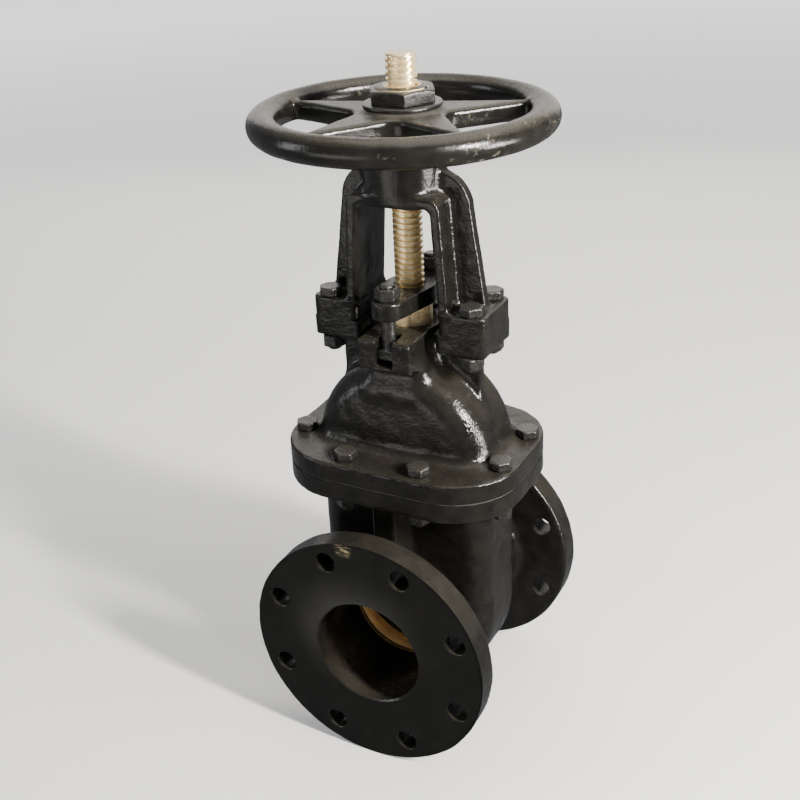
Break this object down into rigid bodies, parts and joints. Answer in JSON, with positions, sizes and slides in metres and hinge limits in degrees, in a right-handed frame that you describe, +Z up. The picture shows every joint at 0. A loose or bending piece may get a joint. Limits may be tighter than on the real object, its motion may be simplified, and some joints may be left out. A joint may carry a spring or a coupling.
{
  "type": "gate valve",
  "caption": "Flanged gate valve with outside screw and yoke: turning the handwheel lifts a threaded brass stem and wedge gate clear of the pipe bore.",
  "frame": {"origin": "centre of the inlet flange's face, on the pipe axis", "axes": "+Y along the pipe from inlet to outlet, +Z up along the stem, +X to the right seen from the inlet"},
  "size_m": [0.254, 0.254, 0.6223],
  "materials": {
    "casting": "glossy black bitumen paint over a rough sand casting",
    "fastener": "steel, painted black with the castings",
    "bronze": "turned bronze",
    "nut_brass": "turned brass",
    "stem_brass": "bright turned brass, oiled",
    "gate_iron": "dark iron, painted",
    "gasket": "compressed fibre sheet, matt",
    "packing": "braided graphite packing",
    "key_steel": "plain steel"
  },
  "bodies": {
    "valve": {"body": "casting", "seat_ring_inlet": "bronze", "seat_ring_outlet": "bronze", "bonnet_gasket": "gasket", "bonnet": "casting", "bonnet_bolts": "fastener", "bonnet_nuts": "fastener", "backseat_bush": "bronze", "packing_ring_1": "packing", "packing_ring_2": "packing", "packing_ring_3": "packing", "packing_ring_4": "packing", "packing_ring_5": "packing", "gland_bush": "nut_brass", "gland_flange": "casting", "gland_bolts": "fastener", "gland_nuts": "fastener", "yoke": "casting", "yoke_bolts": "fastener", "yoke_nuts": "fastener"},
    "wheel": {"stem_nut": "nut_brass", "handwheel": "casting", "wheel_key": "key_steel", "wheel_washer": "fastener", "wheel_nut": "fastener"},
    "stem": {"stem": "stem_brass", "gate": "gate_iron", "gate_ring_inlet": "bronze", "gate_ring_outlet": "bronze"}
  },
  "joints": [
    {"name": "handwheel_turn", "type": "hinge", "parent": "valve", "child": "wheel", "pos_m": [0, 0.1143, 0.441], "axis": [0, 0, 1], "range_deg": [0, 7560]},
    {"name": "stem_lift", "type": "slide", "parent": "valve", "child": "stem", "axis": [0, 0, 1], "range_m": [0, 0.1067]}
  ],
  "couplings": [
    {"joint": "stem_lift", "follows": "handwheel_turn", "m_per_rad": 0.00080851}
  ]
}
